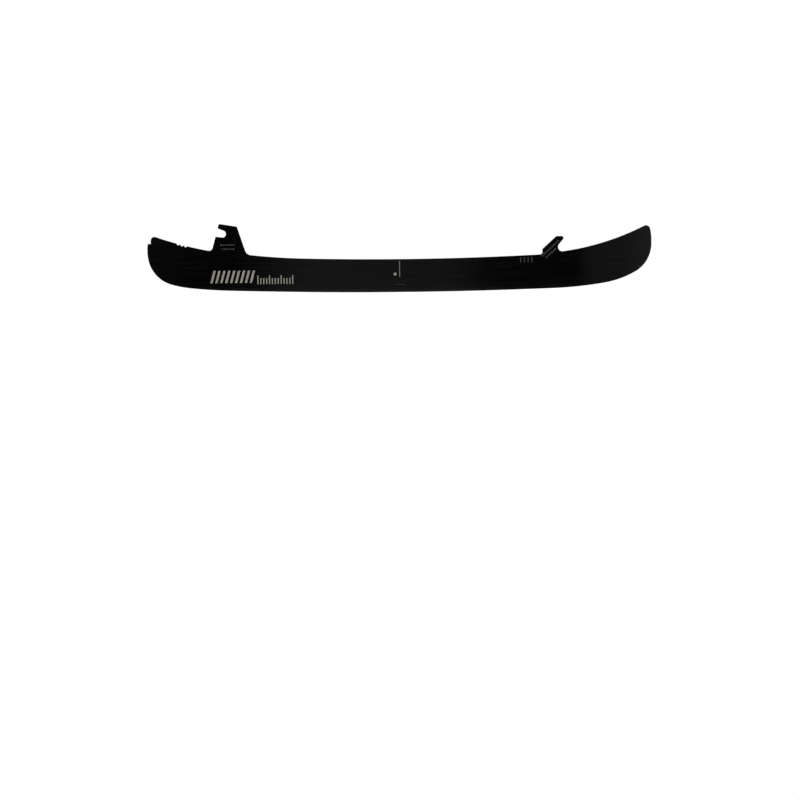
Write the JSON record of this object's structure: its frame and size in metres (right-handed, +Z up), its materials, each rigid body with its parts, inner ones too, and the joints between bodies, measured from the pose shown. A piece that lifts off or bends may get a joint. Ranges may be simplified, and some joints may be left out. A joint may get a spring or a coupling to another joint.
{
  "type": "hockey skate blade",
  "caption": "Flat steel hockey runner under a black coating, with a rockered running edge, upswept heel, toothed toe, and a front and a rear hook that lock it into a skate's blade holder.",
  "frame": {"origin": "centre of the front hook's pin seat, in the middle of the blade's thickness", "axes": "+X along the blade from toe to heel, +Y through the thickness towards the skater's right, +Z up from the running edge to the hooks"},
  "size_m": [0.287, 0.003, 0.0397],
  "materials": {
    "stainless_steel": "ground, satin; seen only where the film is opened",
    "black_carbon_film": "glossy black carbon film over ground steel"
  },
  "bodies": {
    "root": {"steel_runner": "stainless_steel", "carbon_coating": "black_carbon_film"}
  },
  "joints": []
}
